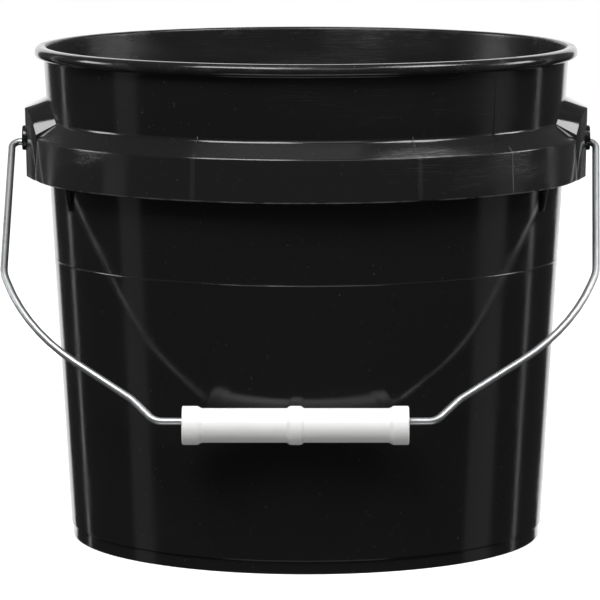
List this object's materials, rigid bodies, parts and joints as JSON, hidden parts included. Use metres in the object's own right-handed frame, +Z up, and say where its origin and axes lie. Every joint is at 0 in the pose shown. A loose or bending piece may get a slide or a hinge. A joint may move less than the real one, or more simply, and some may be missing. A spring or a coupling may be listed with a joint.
{
  "type": "wash bucket",
  "caption": "Round tapered wash bucket with a rolled rim, a stiffening collar with hollow bail ears, a swinging wire bail and a turning tubular grip.",
  "frame": {"origin": "on the pail's axis, at the level of the foot that it stands on", "axes": "+Z up along the pail's axis, X through the two bail ears, -Y towards the side on which the bail hangs"},
  "size_m": [0.3304, 0.3108, 0.275],
  "materials": {
    "pail": "glossy moulded polyethylene, lightly scuffed",
    "wire": "bright zinc plate",
    "grip": "satin moulded"
  },
  "bodies": {
    "pail": {"pail_wall": "pail", "pail_floor": "pail", "ear_collar": "pail"},
    "bail": {"bail_wire": "wire"},
    "grip": {"handle_grip": "grip"}
  },
  "joints": [
    {"name": "bail_swing", "type": "hinge", "parent": "pail", "child": "bail", "pos_m": [0, 0, 0.2206], "axis": [-1, 0, 0], "range_deg": [0, 265]},
    {"name": "grip_spin", "type": "hinge", "parent": "bail", "child": "grip", "pos_m": [-0.0058, -0.14716, 0.08355], "axis": [1, 0, 0], "continuous": true}
  ]
}
